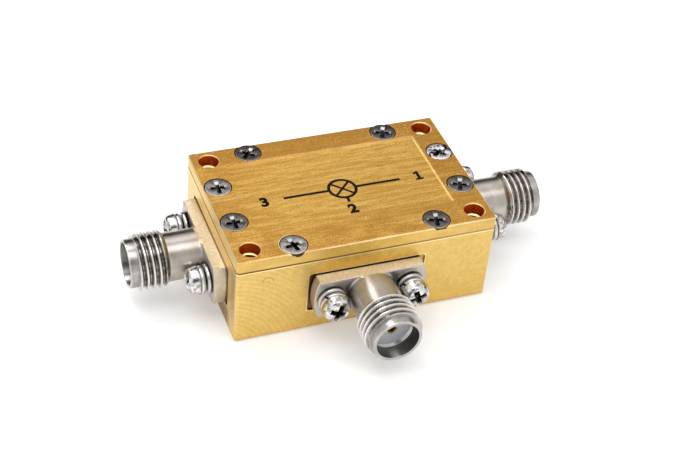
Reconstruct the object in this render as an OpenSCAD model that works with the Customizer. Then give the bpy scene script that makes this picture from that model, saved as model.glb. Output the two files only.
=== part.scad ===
// Coaxial microwave mixer: a gold-plated milled housing, a screwed lid and three screw-on coaxial sockets.
// The body stands on z = 0 and is centred on the z axis. Port 1 faces +x, port 2 faces -y, port 3 faces -x.

/* [Body] */
// Length of the body between the faces of ports 1 and 3
body_length = 29; // [28:0.5:40]
// Width of the body from the face of port 2 to the plain back
body_width = 18.8; // [18:0.2:30]
// Height of the housing up to the lid's seat
housing_height = 9.6; // [9.2:0.1:14]
// Thickness of the lid
lid_thickness = 1.5; // [1.3:0.1:2]
// Radius of the upright edges
upright_edge_radius = 0.35; // [0.15:0.05:1]
// Width of the bevel round the base
base_bevel = 0.25; // [0.1:0.05:0.6]
// Width of the bevel round the lid's top
lid_bevel = 0.15; // [0.05:0.05:0.4]
// Width of the bevels that meet at the seam of housing and lid
seam_bevel = 0.06; // [0.02:0.02:0.2]
// Height of the port axes above the base
port_height = 5.2; // [4.8:0.1:5.5]

/* [Cavity] */
// Wall between the cavity and the end faces
end_wall = 3.2; // [3:0.1:3.6]
// Wall between the cavity and the long faces
side_wall = 3.2; // [3:0.1:3.6]
// Radius of the cavity's upright corners
cavity_corner_radius = 1.5; // [1.2:0.1:3]

/* [Lid panel] */
// Depth of the shallow panel milled into the lid
panel_depth = 0.15; // [0.05:0.05:0.4]
// Margin of the panel at both ends of the lid
panel_end_margin = 3.5; // [3.3:0.1:5]
// Margin of the panel at the front edge of the lid
panel_front_margin = 3.8; // [3.1:0.1:5]
// Margin of the panel at the back edge of the lid
panel_back_margin = 2.95; // [2.95:0.05:5]
// Radius of the panel's corners
panel_corner_radius = 0.4; // [0.2:0.1:1.5]

/* [Mounting holes] */
// Diameter of the four mounting holes
mount_hole_diameter = 2.2; // [1.8:0.1:2.4]
// Distance of the mounting holes from the end faces
mount_hole_end_inset = 1.9; // [1.7:0.1:2.1]
// Distance of the mounting holes from the long faces
mount_hole_side_inset = 1.8; // [1.6:0.1:2]
// Width of the bevel at the top of each mounting hole
mount_hole_bevel = 0.1; // [0.05:0.05:0.2]

/* [Lid screws] */
// Distance of the long-side screws from the end faces
side_screw_end_inset = 6.5; // [6:0.1:7.5]
// Distance of the long-side screws from the long faces
side_screw_inset = 1.4; // [1.3:0.05:1.5]
// Distance of the end screws from the end faces
end_screw_inset = 1.6; // [1.5:0.05:1.7]
// Spacing of the two screws at each end
end_screw_spacing = 6; // [5:0.1:7]
// Diameter of the countersunk heads
flat_head_diameter = 3; // [2.8:0.05:3.1]
// Height of the upright rim of the countersunk heads
flat_head_rim = 0.1; // [0.05:0.01:0.15]
// Overall length of the lid screws
lid_screw_length = 4; // [3.2:0.1:4.2]

/* [Screws] */
// Thread diameter of all the screws
screw_diameter = 1.6; // [1.4:0.1:1.6]
// Radial gap between a screw's thread and its tapped hole
thread_gap = 0.02; // [0.01:0.01:0.03]
// Radial gap between a screw's shank and a hole that it passes through
shank_gap = 0.1; // [0.05:0.01:0.12]
// Depth of a tapped hole beyond the tip of its screw
tap_runout = 0.3; // [0.1:0.05:0.4]
// Point angle of the drill for the blind holes
drill_point_angle = 118; // [90:1:140]
// Width of the bevel at the screws' tips
screw_tip_bevel = 0.2; // [0.1:0.05:0.3]
// Width across the cross recesses
recess_width = 1.8; // [1.4:0.1:2]
// Thickness of the blades of the cross recesses
recess_blade = 0.4; // [0.3:0.05:0.5]
// Depth of the cross recesses
recess_depth = 0.6; // [0.4:0.05:0.7]
// Width across the floor of the cross recesses
recess_floor_width = 0.8; // [0.6:0.1:1]

/* [Connector flange] */
// Diameter of the flange's round ends
flange_diameter = 12.7; // [12.5:0.1:13]
// Width of the flange across its flats
flange_width = 4.8; // [4.2:0.1:5]
// Thickness of the flange
flange_thickness = 1.65; // [1.3:0.05:1.8]
// Width of the bevel round the flange's outer face
flange_bevel = 0.12; // [0.05:0.01:0.2]
// Spacing of the flange's two screws
flange_screw_spacing = 8.9; // [8.9:0.05:9.2]
// Depth of the milled pocket that the flange seats in
pocket_depth = 0.2; // [0.1:0.05:0.4]
// Clearance between the pocket and the flange's round ends
pocket_end_clearance = 0.2; // [0.1:0.05:0.4]
// Clearance between the pocket and the flange's flats
pocket_side_clearance = 0.15; // [0.05:0.05:0.2]
// Radius of the pocket's corners
pocket_corner_radius = 0.4; // [0.2:0.1:0.8]

/* [Connector barrel] */
// Distance of the socket's mouth from the face of the housing
socket_reach = 9.35; // [9:0.05:12]
// Diameter of the barrel between flange and thread
barrel_diameter = 5.34; // [5:0.02:5.34]
// Width of the bevel where the barrel meets the flange
barrel_root_bevel = 0.12; // [0.05:0.01:0.15]
// Length by which the flange's flats run on over the root of the barrel
flat_run = 0.25; // [0.2:0.05:0.5]
// Major diameter of the coupling thread
thread_diameter = 6.35; // [6:0.01:6.5]
// Length of the coupling thread
thread_length = 2.8; // [2:0.05:3.2]
// Width of the bevel where the thread meets the pilot
thread_bevel = 0.2; // [0.1:0.05:0.3]
// Diameter of the plain pilot in front of the thread
pilot_diameter = 5.34; // [5.2:0.02:5.4]
// Length of the plain pilot
pilot_length = 0.95; // [0.6:0.05:1.2]
// Width of the bevels at the socket's mouth
mouth_bevel = 0.1; // [0.05:0.01:0.12]
// Diameter of the socket
socket_diameter = 4.6; // [4.5:0.02:4.7]
// Depth of the socket down to the insulator
socket_depth = 1.9; // [1.6:0.05:2.2]

/* [Insulator and contact] */
// Diameter of the insulator
insulator_diameter = 4.1; // [3.8:0.02:4.2]
// Radial gap between pieces that are pressed into each other
press_gap = 0.01; // [0.005:0.005:0.02]
// Diameter of the centre contact
contact_diameter = 1.27; // [1.1:0.01:1.3]
// Setback of the centre contact's tip behind the insulator's face
contact_setback = 0.05; // [0.02:0.01:0.2]
// Diameter of the collar that holds the contact in the insulator
collar_diameter = 1.8; // [1.5:0.1:2.2]
// Length of the collar
collar_length = 1.2; // [0.8:0.1:2]
// Height of the collar above the flange's seat
collar_height = 2.4; // [2:0.1:3]
// Diameter of the hole in the contact's tip
contact_hole_diameter = 0.94; // [0.88:0.01:0.96]
// Depth of the hole in the contact's tip
contact_hole_depth = 2.4; // [2.1:0.1:2.8]
// Width of the four slots in the contact's tip
contact_slot_width = 0.1; // [0.06:0.01:0.12]
// Length of the four slots
contact_slot_length = 2; // [1.4:0.1:2.1]

/* [Glass bead feedthrough] */
// Diameter of the feedthrough's pin
pin_diameter = 0.3; // [0.25:0.01:0.34]
// Length of the pin inside the contact
pin_outer_length = 1.2; // [0.8:0.1:1.4]
// Length of the pin over the circuit
pin_inner_length = 0.7; // [0.4:0.1:1.2]
// Depth of the contact's rear hole beyond the pin's end
pin_end_gap = 0.1; // [0.05:0.05:0.2]
// Outer diameter of the feedthrough's metal ring
bead_diameter = 1.93; // [1.8:0.01:2.2]
// Outer diameter of the feedthrough's glass
glass_diameter = 1.4; // [1.36:0.02:1.5]
// Length of the feedthrough's metal ring
bead_length = 1.4; // [1:0.1:1.8]
// Setback of the glass behind both faces of the ring
glass_setback = 0.05; // [0.02:0.01:0.15]
// Diameter of the hole round the pin between bead and cavity
air_line_diameter = 0.7; // [0.6:0.02:0.9]

/* [Circuit] */
// Thickness of the metal carrier on the cavity's floor
carrier_thickness = 1; // [0.6:0.1:1.4]
// Gap between the carrier and the cavity's walls
carrier_gap = 0.15; // [0.05:0.05:0.3]
// Thickness of the ceramic substrates
substrate_thickness = 0.38; // [0.25:0.01:0.5]
// Width of the ceramic substrates
substrate_width = 2.4; // [1.6:0.1:2.4]
// Gap between a substrate and the carrier's pedestal
substrate_gap = 0.1; // [0.05:0.05:0.2]
// Thickness of the conductor lines
line_thickness = 0.02; // [0.01:0.005:0.04]
// Width of the conductor lines
line_width = 0.36; // [0.25:0.01:0.5]
// Distance from a line's ends to the ends of its substrate
line_end_margin = 0.05; // [0.02:0.01:0.1]
// Gap between a feedthrough pin and its line
pin_line_gap = 0.02; // [0.01:0.01:0.05]
// Side of the mixer chip
chip_side = 1.6; // [1.2:0.1:1.8]
// Thickness of the mixer chip
chip_thickness = 0.1; // [0.08:0.01:0.2]
// Side of the pedestal under the chip
pedestal_side = 2.4; // [2.4:0.1:3]
// Width of the bond ribbons
ribbon_width = 0.25; // [0.1:0.01:0.3]
// Thickness of the bond ribbons
ribbon_thickness = 0.03; // [0.02:0.005:0.04]
// Length of each foot of the bond ribbons
ribbon_foot = 0.15; // [0.1:0.01:0.2]
// Rise of the bond ribbons over their feet
ribbon_rise = 0.15; // [0.1:0.01:0.2]

/* [Screw heads and washers] */
// Diameter of the pan heads of the flange screws
pan_head_diameter = 3.2; // [2.8:0.05:3.3]
// Height of the pan heads
pan_head_height = 1.3; // [1.1:0.05:1.4]
// Radius of the pan heads' domed top
pan_head_dome = 2.6; // [2.2:0.1:4]
// Overall length of the flange screws under the head
flange_screw_length = 4.5; // [4.2:0.1:4.8]
// Outer diameter of the spring washers
lock_washer_diameter = 3.1; // [2.8:0.05:3.2]
// Thickness of the spring washers
lock_washer_thickness = 0.7; // [0.5:0.05:0.8]
// Width of the slit in the spring washers
lock_washer_slit = 0.25; // [0.1:0.05:0.4]
// Slant of the slit in the spring washers
lock_washer_slant = 25; // [0:5:40]
// Outer diameter of the flat washers
flat_washer_diameter = 3.2; // [3:0.05:3.25]
// Thickness of the flat washers
flat_washer_thickness = 0.5; // [0.3:0.05:0.6]

/* [Hidden] */
$fn = 64;
// Length by which a cut runs past the surface that it opens
over = 1;
// Turn of each port's axis about z, from port 1 to port 3, with 0 facing -y
port_turns = [90, 0, -90];
// Distance of each port's face from the body's centre
port_faces = [body_length / 2, body_width / 2, body_length / 2];
// Wall behind each port's face
port_walls = [end_wall, side_wall, end_wall];
// Resting turns of the cross recesses of the lid screws and the flange screws
lid_screw_turns = [12, 50, -14, -22, 0, -3, -22, 38];
flange_screw_turns = [68, 18];
// Direction of the slits in the spring washers, as seen on the port's face
lock_washer_turns = [129, 141];

lid_top = housing_height + lid_thickness;
cavity_size = [body_length - 2 * end_wall, body_width - 2 * side_wall];
substrate_top = port_height - pin_diameter / 2 - pin_line_gap - line_thickness;
line_top = substrate_top + line_thickness;
carrier_top = substrate_top - substrate_thickness;
cavity_floor = carrier_top - carrier_thickness;
pedestal_top = line_top - chip_thickness;
substrate_inner_end = pedestal_side / 2 + substrate_gap;

flat_head_cone = (flat_head_diameter - screw_diameter) / 2;
tap_diameter = screw_diameter + 2 * thread_gap;
pass_diameter = screw_diameter + 2 * shank_gap;
washer_stack = flat_washer_thickness + lock_washer_thickness;
// Depth of the flange screws' tips below the pocket's floor
flange_screw_engagement = flange_screw_length - washer_stack - flange_thickness;
flange_front = flange_thickness - pocket_depth;
insulator_front = socket_reach - socket_depth;
contact_front = insulator_front - contact_setback;
thread_top = socket_reach - pilot_length;
thread_base = thread_top - thread_length;

mount_points = [for (x = [-1, 1], y = [-1, 1])
    [x * (body_length / 2 - mount_hole_end_inset), y * (body_width / 2 - mount_hole_side_inset)]];
side_screw_points = [for (x = [-1, 1], y = [-1, 1])
    [x * (body_length / 2 - side_screw_end_inset), y * (body_width / 2 - side_screw_inset)]];
end_screw_points = [for (x = [-1, 1], y = [-1, 1])
    [x * (body_length / 2 - end_screw_inset), y * end_screw_spacing / 2]];
lid_screw_points = concat(side_screw_points, end_screw_points);

// Turns its children so that their -y side faces the given port
module toward_port(n)
    rotate(port_turns[n - 1])
        children();

// Carries its children to a port: z points out of the housing from its face, y points up
module at_port(n)
    toward_port(n)
        translate([0, -port_faces[n - 1], port_height])
            rotate([90, 0, 0])
                children();

// Carries its children to both screws of a port's flange
module at_flange_screws()
    for (side = [-1, 1])
        translate([side * flange_screw_spacing / 2, 0, 0])
            children();

// Rectangle with round corners, centred on the origin
module rounded_rect(size, corner_r) {
    square([size.x - 2 * corner_r, size.y], center = true);
    square([size.x, size.y - 2 * corner_r], center = true);
    for (x = [-1, 1], y = [-1, 1])
        translate([x * (size.x / 2 - corner_r), y * (size.y / 2 - corner_r)])
            circle(corner_r);
}

// Side view of a block with bevels at its foot and its top
module bevelled_profile(width, height, low, high)
    polygon([
        [-width / 2 + low, 0], [width / 2 - low, 0],
        [width / 2, low], [width / 2, height - high],
        [width / 2 - high, height], [-width / 2 + high, height],
        [-width / 2, height - high], [-width / 2, low]
    ]);

// Milled block on z = 0 with round upright edges and bevels at its foot and its top
module milled_block(size, upright_r, low, high)
    intersection() {
        linear_extrude(size.z)
            rounded_rect(size, upright_r);
        rotate([90, 0, 0])
            linear_extrude(size.y, center = true)
                bevelled_profile(size.x, size.z, low, high);
        rotate([90, 0, 90])
            linear_extrude(size.x, center = true)
                bevelled_profile(size.y, size.z, low, high);
    }

// Blind hole down from z = 0, ending in the drill's point
module blind_hole(diameter, depth) {
    point = diameter / 2 / tan(drill_point_angle / 2);
    rotate_extrude()
        polygon([[0, -depth - point], [diameter / 2, -depth], [diameter / 2, over], [0, over]]);
}

// Outline of a bevelled screw tip at a depth below z = 0, from the axis outwards
function tip_points(length) = [
    [0, -length], [screw_diameter / 2 - screw_tip_bevel, -length], [screw_diameter / 2, screw_tip_bevel - length]
];

// Cross recess cut down from z = 0
module cross_recess()
    intersection() {
        translate([0, 0, -recess_depth])
            cylinder(d1 = recess_floor_width, d2 = recess_width, h = recess_depth);
        union()
            for (turn = [0, 90])
                rotate(turn)
                    translate([-recess_width / 2, -recess_blade / 2, -recess_depth])
                        cube([recess_width, recess_blade, recess_depth]);
    }

// Countersunk screw down from z = 0
module flat_screw(length)
    difference() {
        rotate_extrude()
            polygon(concat(tip_points(length), [
                [screw_diameter / 2, -flat_head_rim - flat_head_cone],
                [flat_head_diameter / 2, -flat_head_rim], [flat_head_diameter / 2, 0], [0, 0]
            ]));
        cross_recess();
    }

// Clearance hole through the lid with its countersink, down from z = 0
module countersunk_hole()
    rotate_extrude()
        polygon([
            [0, -lid_thickness - over], [pass_diameter / 2, -lid_thickness - over],
            [pass_diameter / 2, -flat_head_rim - flat_head_cone + shank_gap - press_gap],
            [flat_head_diameter / 2 + press_gap, -flat_head_rim],
            [flat_head_diameter / 2 + press_gap, over], [0, over]
        ]);

// What a port takes out of the housing: flange pocket, bead seat, air line and two tapped holes
module port_cuts(wall) {
    translate([0, 0, -pocket_depth])
        linear_extrude(pocket_depth + over)
            rounded_rect([flange_diameter + 2 * pocket_end_clearance,
                          flange_width + 2 * pocket_side_clearance], pocket_corner_radius);
    translate([0, 0, -pocket_depth - bead_length])
        cylinder(d = bead_diameter + 2 * press_gap, h = bead_length + over);
    translate([0, 0, -wall - over])
        cylinder(d = air_line_diameter, h = wall + over);
    at_flange_screws()
        translate([0, 0, -pocket_depth])
            blind_hole(tap_diameter, flange_screw_engagement + tap_runout);
}

module housing()
    color("goldenrod")
        difference() {
            milled_block([body_length, body_width, housing_height], upright_edge_radius, base_bevel, seam_bevel);
            translate([0, 0, cavity_floor])
                linear_extrude(housing_height)
                    rounded_rect(cavity_size, cavity_corner_radius);
            for (p = mount_points)
                translate([p.x, p.y, -over])
                    cylinder(d = mount_hole_diameter, h = housing_height + 2 * over);
            for (p = lid_screw_points)
                translate([p.x, p.y, housing_height])
                    blind_hole(tap_diameter, lid_screw_length - lid_thickness + tap_runout);
            for (n = [1, 2, 3])
                at_port(n)
                    port_cuts(port_walls[n - 1]);
        }

module lid()
    color("gold")
        difference() {
            translate([0, 0, housing_height])
                milled_block([body_length, body_width, lid_thickness], upright_edge_radius, seam_bevel, lid_bevel);
            translate([0, (panel_front_margin - panel_back_margin) / 2, lid_top - panel_depth])
                linear_extrude(panel_depth + over)
                    rounded_rect([body_length - 2 * panel_end_margin,
                                  body_width - panel_front_margin - panel_back_margin], panel_corner_radius);
            for (p = mount_points)
                translate([p.x, p.y, lid_top]) {
                    translate([0, 0, -lid_thickness - over])
                        cylinder(d = mount_hole_diameter, h = lid_thickness + 2 * over);
                    translate([0, 0, -mount_hole_bevel])
                        cylinder(d1 = mount_hole_diameter, d2 = mount_hole_diameter + 4 * mount_hole_bevel,
                                 h = 2 * mount_hole_bevel);
                }
            for (p = lid_screw_points)
                translate([p.x, p.y, lid_top])
                    countersunk_hole();
        }

module lid_screws()
    color("dimgray")
        for (i = [0 : len(lid_screw_points) - 1])
            translate([lid_screw_points[i].x, lid_screw_points[i].y, lid_top])
                rotate(lid_screw_turns[i])
                    flat_screw(lid_screw_length);

// Flange of a socket: a disc with two flats, its outer edges bevelled
module flange()
    translate([0, 0, -pocket_depth])
        intersection() {
            rotate_extrude()
                polygon([
                    [0, 0], [flange_diameter / 2, 0],
                    [flange_diameter / 2, flange_thickness - flange_bevel],
                    [flange_diameter / 2 - flange_bevel, flange_thickness], [0, flange_thickness]
                ]);
            rotate([90, 0, 90])
                linear_extrude(flange_diameter + 2 * over, center = true)
                    bevelled_profile(flange_width, flange_thickness, 0, flange_bevel);
        }

// Outside of a socket, with its thread at full diameter
module barrel() {
    shoulder = (thread_diameter - barrel_diameter) / 2;
    root_r = barrel_diameter / 2 + barrel_root_bevel;
    rotate_extrude()
        polygon([
            [0, flange_front / 2], [root_r, flange_front / 2], [root_r, flange_front],
            [barrel_diameter / 2, flange_front + barrel_root_bevel],
            [barrel_diameter / 2, thread_base - shoulder], [thread_diameter / 2, thread_base],
            [thread_diameter / 2, thread_top - thread_bevel],
            [thread_diameter / 2 - thread_bevel, thread_top], [pilot_diameter / 2, thread_top],
            [pilot_diameter / 2, socket_reach - mouth_bevel],
            [pilot_diameter / 2 - mouth_bevel, socket_reach], [0, socket_reach]
        ]);
}

// Room that the flange's flats leave for the barrel: a slab over their run, and all in front of it
module barrel_room() {
    translate([0, 0, flange_front / 2])
        linear_extrude(flange_front / 2 + 2 * flat_run)
            square([2 * thread_diameter, flange_width], center = true);
    translate([0, 0, flange_front + flat_run])
        cylinder(d = 2 * thread_diameter, h = socket_reach);
}

module connector_shell()
    color("silver")
        difference() {
            union() {
                flange();
                intersection() {
                    barrel();
                    barrel_room();
                }
            }
            translate([0, 0, -pocket_depth - over])
                cylinder(d = insulator_diameter + 2 * press_gap, h = socket_reach + pocket_depth);
            translate([0, 0, insulator_front])
                cylinder(d = socket_diameter, h = socket_depth + over);
            translate([0, 0, socket_reach - mouth_bevel])
                cylinder(d1 = socket_diameter, d2 = socket_diameter + 4 * mouth_bevel, h = 2 * mouth_bevel);
            at_flange_screws()
                translate([0, 0, -pocket_depth - over])
                    cylinder(d = pass_diameter, h = flange_thickness + 2 * over);
        }

// Outline of the centre contact with its collar, grown all round by a gap
module contact_outline(front, gap)
    rotate_extrude()
        polygon([
            [0, -pocket_depth - gap], [contact_diameter / 2 + gap, -pocket_depth - gap],
            [contact_diameter / 2 + gap, collar_height - gap], [collar_diameter / 2 + gap, collar_height - gap],
            [collar_diameter / 2 + gap, collar_height + collar_length + gap],
            [contact_diameter / 2 + gap, collar_height + collar_length + gap],
            [contact_diameter / 2 + gap, front], [0, front]
        ]);

module insulator()
    color("whitesmoke")
        difference() {
            translate([0, 0, -pocket_depth])
                cylinder(d = insulator_diameter, h = insulator_front + pocket_depth);
            contact_outline(insulator_front + over, press_gap);
        }

module contact()
    color("gold")
        difference() {
            contact_outline(contact_front, 0);
            translate([0, 0, contact_front - contact_hole_depth])
                cylinder(d = contact_hole_diameter, h = contact_hole_depth + over);
            for (turn = [0, 90])
                rotate(turn)
                    translate([-contact_diameter, -contact_slot_width / 2, contact_front - contact_slot_length])
                        cube([2 * contact_diameter, contact_slot_width, contact_slot_length + over]);
            translate([0, 0, -pocket_depth - over])
                cylinder(d = pin_diameter + 2 * press_gap, h = over + pin_outer_length + pin_end_gap);
        }

// Tube standing on a port's pocket floor and reaching into the housing
module bead_tube(outer, inner, length, setback)
    translate([0, 0, -pocket_depth - length + setback])
        difference() {
            cylinder(d = outer, h = length - 2 * setback);
            translate([0, 0, -over])
                cylinder(d = inner, h = length + 2 * over);
        }

module bead_ring()
    color("gold")
        bead_tube(bead_diameter, glass_diameter, bead_length, 0);

module bead_glass()
    color("steelblue")
        bead_tube(glass_diameter, pin_diameter, bead_length, glass_setback);

module feed_pin(wall)
    color("gold")
        translate([0, 0, -wall - pin_inner_length])
            cylinder(d = pin_diameter, h = wall + pin_inner_length - pocket_depth + pin_outer_length);

// Pan head standing on z = 0, with its shank reaching up into it
module pan_screw(length)
    difference() {
        union() {
            intersection() {
                cylinder(d = pan_head_diameter, h = pan_head_height);
                translate([0, 0, pan_head_height - pan_head_dome])
                    sphere(pan_head_dome);
            }
            rotate_extrude()
                polygon(concat(tip_points(length), [
                    [screw_diameter / 2, pan_head_height / 3], [0, pan_head_height / 3]
                ]));
        }
        translate([0, 0, pan_head_height])
            cross_recess();
    }

module flange_screws()
    color("lightgray")
        for (n = [1, 2, 3])
            at_port(n)
                for (side = [0, 1])
                    translate([(2 * side - 1) * flange_screw_spacing / 2, 0, flange_front + washer_stack])
                        rotate(flange_screw_turns[side])
                            pan_screw(flange_screw_length);

// Spring washer clamped flat, with its slanted slit toward +x
module lock_washer()
    difference() {
        cylinder(d = lock_washer_diameter, h = lock_washer_thickness);
        translate([0, 0, -over])
            cylinder(d = pass_diameter, h = lock_washer_thickness + 2 * over);
        translate([lock_washer_diameter / 2, 0, lock_washer_thickness / 2])
            rotate([lock_washer_slant, 0, 0])
                cube([lock_washer_diameter, lock_washer_slit, 4 * lock_washer_thickness], center = true);
    }

module lock_washers()
    color("gainsboro")
        for (n = [1, 2, 3])
            at_port(n)
                for (side = [0, 1])
                    translate([(2 * side - 1) * flange_screw_spacing / 2, 0, flange_front + flat_washer_thickness])
                        rotate(lock_washer_turns[side])
                            lock_washer();

module flat_washers()
    color("lightgray")
        for (n = [1, 2, 3])
            at_port(n)
                at_flange_screws()
                    translate([0, 0, flange_front])
                        difference() {
                            cylinder(d = flat_washer_diameter, h = flat_washer_thickness);
                            translate([0, 0, -over])
                                cylinder(d = pass_diameter, h = flat_washer_thickness + 2 * over);
                        }

module carrier()
    color("khaki") {
        translate([0, 0, cavity_floor])
            linear_extrude(carrier_thickness)
                rounded_rect([cavity_size.x - 2 * carrier_gap, cavity_size.y - 2 * carrier_gap],
                             cavity_corner_radius - carrier_gap);
        translate([-pedestal_side / 2, -pedestal_side / 2, carrier_top - carrier_thickness / 2])
            cube([pedestal_side, pedestal_side, pedestal_top - carrier_top + carrier_thickness / 2]);
    }

// Distance from the centre to the outer end of a port's substrate
function substrate_outer_end(n) = port_faces[n - 1] - port_walls[n - 1] - carrier_gap;

module substrate(n)
    color("white")
        toward_port(n)
            translate([-substrate_width / 2, -substrate_outer_end(n), carrier_top])
                cube([substrate_width, substrate_outer_end(n) - substrate_inner_end, substrate_thickness]);

module microstrip_lines()
    color("gold")
        for (n = [1, 2, 3])
            toward_port(n)
                translate([-line_width / 2, line_end_margin - substrate_outer_end(n), substrate_top])
                    cube([line_width, substrate_outer_end(n) - substrate_inner_end - 2 * line_end_margin,
                          line_thickness]);

module mixer_chip()
    color("slategray")
        translate([-chip_side / 2, -chip_side / 2, pedestal_top])
            cube([chip_side, chip_side, chip_thickness]);

// Arched ribbon between a chip's edge and a line's end, standing on y = 0 and reaching along x
module ribbon(span) {
    reach = span / 2 - ribbon_foot;
    arc_r = (reach * reach + ribbon_rise * ribbon_rise) / (2 * ribbon_rise);
    rotate([90, 0, 0])
        linear_extrude(ribbon_width, center = true) {
            intersection() {
                translate([0, ribbon_rise - arc_r])
                    difference() {
                        circle(arc_r);
                        circle(arc_r - ribbon_thickness);
                    }
                translate([-span / 2, 0])
                    square([span, ribbon_rise]);
            }
            for (side = [-1, 1])
                translate([side * (span - ribbon_foot) / 2, ribbon_thickness / 2])
                    square([ribbon_foot + ribbon_thickness, ribbon_thickness], center = true);
        }
}

module bond_ribbons() {
    chip_land = chip_side / 2 - ribbon_foot - ribbon_thickness;
    line_land = substrate_inner_end + line_end_margin + ribbon_foot + ribbon_thickness;
    color("gold")
        for (n = [1, 2, 3])
            toward_port(n)
                translate([0, -(chip_land + line_land) / 2, line_top])
                    rotate(90)
                        ribbon(line_land - chip_land);
}

housing();
lid();
lid_screws();
at_port(1) connector_shell();  // port_1_shell
at_port(2) connector_shell();  // port_2_shell
at_port(3) connector_shell();  // port_3_shell
at_port(1) insulator();  // port_1_insulator
at_port(2) insulator();  // port_2_insulator
at_port(3) insulator();  // port_3_insulator
at_port(1) contact();  // port_1_contact
at_port(2) contact();  // port_2_contact
at_port(3) contact();  // port_3_contact
at_port(1) bead_ring();  // port_1_bead_ring
at_port(2) bead_ring();  // port_2_bead_ring
at_port(3) bead_ring();  // port_3_bead_ring
at_port(1) bead_glass();  // port_1_bead_glass
at_port(2) bead_glass();  // port_2_bead_glass
at_port(3) bead_glass();  // port_3_bead_glass
at_port(1) feed_pin(end_wall);  // port_1_pin
at_port(2) feed_pin(side_wall);  // port_2_pin
at_port(3) feed_pin(end_wall);  // port_3_pin
flange_screws();
lock_washers();
flat_washers();
carrier();
substrate(1);  // port_1_substrate
substrate(2);  // port_2_substrate
substrate(3);  // port_3_substrate
microstrip_lines();
mixer_chip();
bond_ribbons();
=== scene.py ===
import math
import bmesh
import bpy
from mathutils import Matrix, Vector


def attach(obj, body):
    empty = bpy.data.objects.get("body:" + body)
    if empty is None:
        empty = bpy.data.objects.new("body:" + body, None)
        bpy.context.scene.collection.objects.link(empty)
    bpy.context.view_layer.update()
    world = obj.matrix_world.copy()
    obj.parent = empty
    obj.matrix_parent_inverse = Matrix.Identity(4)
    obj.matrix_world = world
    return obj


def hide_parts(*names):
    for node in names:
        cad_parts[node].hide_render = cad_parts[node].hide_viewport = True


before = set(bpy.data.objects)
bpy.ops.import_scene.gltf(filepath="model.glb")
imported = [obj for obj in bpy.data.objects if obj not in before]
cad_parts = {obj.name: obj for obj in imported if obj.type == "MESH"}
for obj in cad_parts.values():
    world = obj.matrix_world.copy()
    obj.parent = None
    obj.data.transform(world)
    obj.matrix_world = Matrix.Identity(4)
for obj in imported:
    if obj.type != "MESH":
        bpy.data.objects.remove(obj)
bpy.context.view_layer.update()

mm = 0.001
turn = 2 * math.pi
treeWeld, meshWeld = 3e-7, 1e-7  # points nearer than this are merged, in metres

# The sizes in mm that more than one piece shares, as in the solids
body = {
    "halfLength": 14.5, "halfWidth": 9.4, "seam": 9.6, "top": 11.1, "portHeight": 5.2,
    "mountHole": (12.6, 7.6), "lidScrewSpots": ((8, 8), (12.9, 3)), "pocketHalf": (6.6, 2.6),
    "panelFloor": 10.95, "panelEdges": (11.0, -5.6, 6.45),  # right, front and back
}
# Each port: the turn of its axis about z, and how far its face lies from the middle
ports = {1: (90, body["halfLength"]), 2: (0, body["halfWidth"]), 3: (-90, body["halfLength"])}


def inMetres(sizes):
    return {name: size * mm for name, size in sizes.items()}


def turned(degrees, axis="Z"):
    return Matrix.Rotation(math.radians(degrees), 4, axis)


def portPlace(number):
    angle, face = ports[number]
    return turned(angle) @ Matrix.Translation((0, -face * mm, body["portHeight"] * mm)) @ turned(90, "X")


def inScene(name, data):
    made = bpy.data.objects.new(name, data)
    bpy.context.scene.collection.objects.link(made)
    return made


def asMesh(holder, **settings):
    graph = bpy.context.evaluated_depsgraph_get()
    return bpy.data.meshes.new_from_object(holder.evaluated_get(graph), depsgraph=graph, **settings)


# Node helpers, for shader trees and geometry trees alike
class Wire:
    # An output socket to reckon with: each sign adds a Math node to its tree
    def __init__(self, socket):
        self.socket = socket
        self.tree = socket.id_data

    def __add__(self, other):
        return calc("ADD", self, other)

    def __mul__(self, other):
        return calc("MULTIPLY", self, other)

    __radd__ = __add__
    __rmul__ = __mul__

    def __sub__(self, other):
        return calc("SUBTRACT", self, other)

    def __rsub__(self, other):
        return calc("SUBTRACT", other, self)

    def __truediv__(self, other):
        return calc("DIVIDE", self, other)

    def __neg__(self):
        return calc("MULTIPLY", self, -1.0)

    def __abs__(self):
        return calc("ABSOLUTE", self)


def feed(socket, value):
    if isinstance(value, Wire):
        value.tree.links.new(value.socket, socket)
    else:
        socket.default_value = value


def node(tree, kind, inputs=None, **settings):
    made = tree.nodes.new(kind)
    for setting, value in settings.items():
        setattr(made, setting, value)
    for socket, value in (inputs or {}).items():
        feed(made.inputs[socket], value)
    return made


def result(tree, kind, inputs=None, output=0, **settings):
    return Wire(node(tree, kind, inputs, **settings).outputs[output])


def calc(operation, *values, clamp=False):
    tree = next(value.tree for value in values if isinstance(value, Wire))
    return result(tree, "ShaderNodeMath", dict(enumerate(values)), operation=operation, use_clamp=clamp)


def chain(operation, first, *others):
    for other in others:
        first = calc(operation, first, other)
    return first


def most(*values):
    return chain("MAXIMUM", *values)


def least(*values):
    return chain("MINIMUM", *values)


def distance(across, along):
    return calc("SQRT", across * across + along * along)


def vector(*parts):
    for part in parts:
        if isinstance(part, Wire):
            return result(part.tree, "ShaderNodeCombineXYZ", dict(enumerate(parts)))
    return parts


def split(place):
    return [Wire(part) for part in node(place.tree, "ShaderNodeSeparateXYZ", {0: place}).outputs]


def ramp(value, low, high, outLow=0.0, outHigh=1.0):
    limits = {"Value": value, "From Min": low, "From Max": high, "To Min": outLow, "To Max": outHigh}
    return result(value.tree, "ShaderNodeMapRange", limits, interpolation_type="SMOOTHSTEP")


def rise(value, low, high, top=1.0):
    return ramp(value, low, high, 0.0, top)


def fall(value, low, high, top=1.0):
    return ramp(value, low, high, top, 0.0)


def window(value, riseLow, riseHigh, fallLow, fallHigh):
    return rise(value, riseLow, riseHigh) * fall(value, fallLow, fallHigh)


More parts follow.
